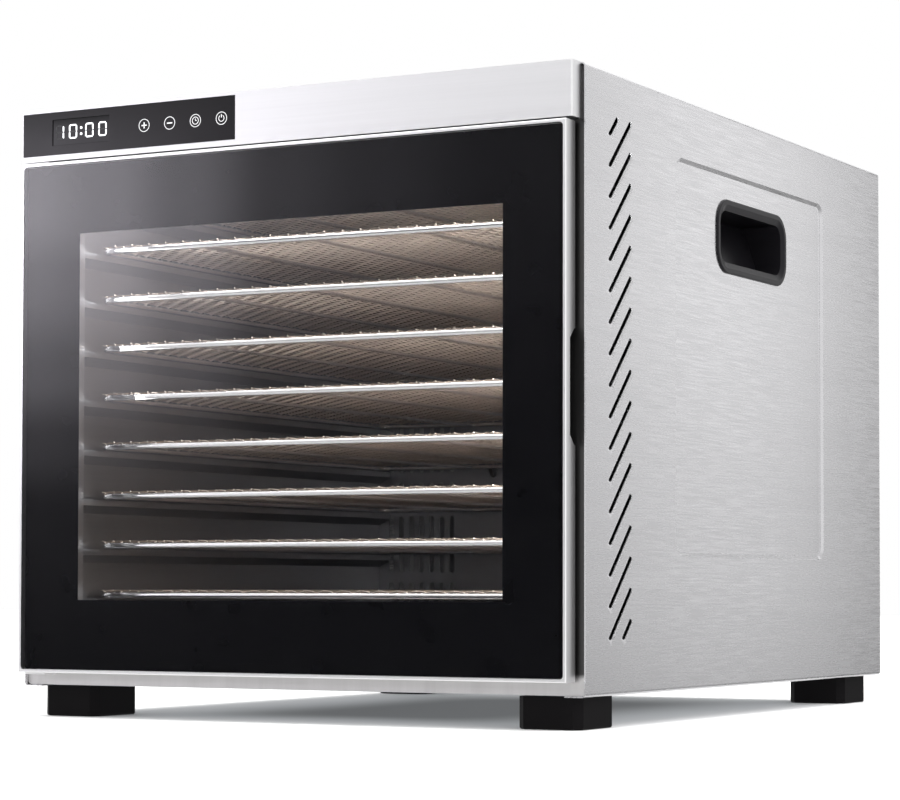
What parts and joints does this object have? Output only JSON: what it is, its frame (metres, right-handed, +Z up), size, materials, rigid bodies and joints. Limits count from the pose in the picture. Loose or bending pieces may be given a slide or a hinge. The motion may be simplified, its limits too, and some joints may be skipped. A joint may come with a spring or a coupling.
{
  "type": "food dehydrator",
  "caption": "Stainless cabinet food dehydrator with a hinged glass door, sliding wire trays, side louvres, a touch control strip and a rear fan and heater.",
  "frame": {"origin": "centre of the footprint, on the surface that the feet stand on", "axes": "+Z up, the door faces -Y, +X is to the right of someone facing the door"},
  "size_m": [0.414, 0.534, 0.4],
  "materials": {
    "brushed_stainless": "brushed along the depth",
    "bright_stainless": "fine brushed, bright",
    "liner_stainless": "mill finish",
    "galvanised_sheet": "zinc plated, dull",
    "tray_wire": "polished stainless wire",
    "tray_mesh_steel": "woven stainless wire",
    "black_gloss": "gloss black acrylic",
    "display_lens": "smoked lens",
    "black_plastic": "moulded, fine texture",
    "foot_rubber": "moulded rubber",
    "seal_silicone": "extruded silicone",
    "clear_glass": "toughened, clear",
    "black_print": "fired black print behind the pane",
    "circuit_board": "solder mask",
    "motor_steel": "zinc plated stampings",
    "heater_sheath": "oxidised sheath",
    "screw_steel": "zinc plated",
    "bush_brass": "turned",
    "fan_aluminium": "pressed"
  },
  "bodies": {
    "cabinet": {"outer_wrap": "brushed_stainless", "base_pan": "galvanised_sheet", "rear_panel": "brushed_stainless", "front_frame": "brushed_stainless", "fascia_panel": "bright_stainless", "control_plate": "black_gloss", "display_window": "display_lens", "control_board": "circuit_board", "power_board": "circuit_board", "side_liner_left": "liner_stainless", "side_liner_right": "liner_stainless", "cavity_floor": "liner_stainless", "cavity_ceiling": "liner_stainless", "rear_baffle": "liner_stainless", "fan_grille": "liner_stainless", "fan_motor": "motor_steel", "motor_bracket": "galvanised_sheet", "heater_element": "heater_sheath", "thermal_cutout": "black_plastic", "temperature_sensor": "bright_stainless", "terminal_block": "black_plastic", "cord_gland": "black_plastic", "handle_cup_left": "black_plastic", "handle_cup_right": "black_plastic", "feet": "foot_rubber", "foot_screws": "screw_steel", "rear_screws": "screw_steel", "hinge_plate_top": "bright_stainless", "hinge_plate_bottom": "bright_stainless", "hinge_screws": "screw_steel", "magnet_catch": "black_plastic"},
    "door": {"door_frame": "bright_stainless", "door_glass": "clear_glass", "glass_border": "black_print", "door_inner_panel": "brushed_stainless", "door_seal": "seal_silicone", "door_bushes": "bush_brass", "catch_plate": "screw_steel"},
    "fan": {"fan_impeller": "fan_aluminium", "motor_shaft": "screw_steel"},
    "tray_01": {"tray_01_rim": "tray_wire", "tray_01_mesh": "tray_mesh_steel"},
    "tray_02": {"tray_02_rim": "tray_wire", "tray_02_mesh": "tray_mesh_steel"},
    "tray_03": {"tray_03_rim": "tray_wire", "tray_03_mesh": "tray_mesh_steel"},
    "tray_04": {"tray_04_rim": "tray_wire", "tray_04_mesh": "tray_mesh_steel"},
    "tray_05": {"tray_05_rim": "tray_wire", "tray_05_mesh": "tray_mesh_steel"},
    "tray_06": {"tray_06_rim": "tray_wire", "tray_06_mesh": "tray_mesh_steel"},
    "tray_07": {"tray_07_rim": "tray_wire", "tray_07_mesh": "tray_mesh_steel"},
    "tray_08": {"tray_08_rim": "tray_wire", "tray_08_mesh": "tray_mesh_steel"},
    "tray_09": {"tray_09_rim": "tray_wire", "tray_09_mesh": "tray_mesh_steel"},
    "tray_10": {"tray_10_rim": "tray_wire", "tray_10_mesh": "tray_mesh_steel"}
  },
  "joints": [
    {"name": "door_hinge", "type": "hinge", "parent": "cabinet", "child": "door", "pos_m": [-0.1948, -0.258, 0.2], "axis": [0, 0, -1], "range_deg": [0, 105]},
    {"name": "fan_spin", "type": "hinge", "parent": "cabinet", "child": "fan", "pos_m": [0, 0.186, 0.197], "axis": [0, 1, 0], "continuous": true},
    {"name": "tray_01_slide", "type": "slide", "parent": "cabinet", "child": "tray_01", "axis": [0, -1, 0], "range_m": [0, 0.091]},
    {"name": "tray_02_slide", "type": "slide", "parent": "cabinet", "child": "tray_02", "axis": [0, -1, 0], "range_m": [0, 0.091]},
    {"name": "tray_03_slide", "type": "slide", "parent": "cabinet", "child": "tray_03", "axis": [0, -1, 0], "range_m": [0, 0.091]},
    {"name": "tray_04_slide", "type": "slide", "parent": "cabinet", "child": "tray_04", "axis": [0, -1, 0], "range_m": [0, 0.091]},
    {"name": "tray_05_slide", "type": "slide", "parent": "cabinet", "child": "tray_05", "axis": [0, -1, 0], "range_m": [0, 0.091]},
    {"name": "tray_06_slide", "type": "slide", "parent": "cabinet", "child": "tray_06", "axis": [0, -1, 0], "range_m": [0, 0.091]},
    {"name": "tray_07_slide", "type": "slide", "parent": "cabinet", "child": "tray_07", "axis": [0, -1, 0], "range_m": [0, 0.091]},
    {"name": "tray_08_slide", "type": "slide", "parent": "cabinet", "child": "tray_08", "axis": [0, -1, 0], "range_m": [0, 0.091]},
    {"name": "tray_09_slide", "type": "slide", "parent": "cabinet", "child": "tray_09", "axis": [0, -1, 0], "range_m": [0, 0.091]},
    {"name": "tray_10_slide", "type": "slide", "parent": "cabinet", "child": "tray_10", "axis": [0, -1, 0], "range_m": [0, 0.091]}
  ],
  "couplings": [
    {"joint": "tray_01_slide", "follows": "door_hinge", "m_per_rad": 0.0495},
    {"joint": "tray_02_slide", "follows": "door_hinge", "m_per_rad": 0.0495},
    {"joint": "tray_03_slide", "follows": "door_hinge", "m_per_rad": 0.0495},
    {"joint": "tray_04_slide", "follows": "door_hinge", "m_per_rad": 0.0495},
    {"joint": "tray_05_slide", "follows": "door_hinge", "m_per_rad": 0.0495},
    {"joint": "tray_06_slide", "follows": "door_hinge", "m_per_rad": 0.0495},
    {"joint": "tray_07_slide", "follows": "door_hinge", "m_per_rad": 0.0495},
    {"joint": "tray_08_slide", "follows": "door_hinge", "m_per_rad": 0.0495},
    {"joint": "tray_09_slide", "follows": "door_hinge", "m_per_rad": 0.0495},
    {"joint": "tray_10_slide", "follows": "door_hinge", "m_per_rad": 0.0495}
  ]
}
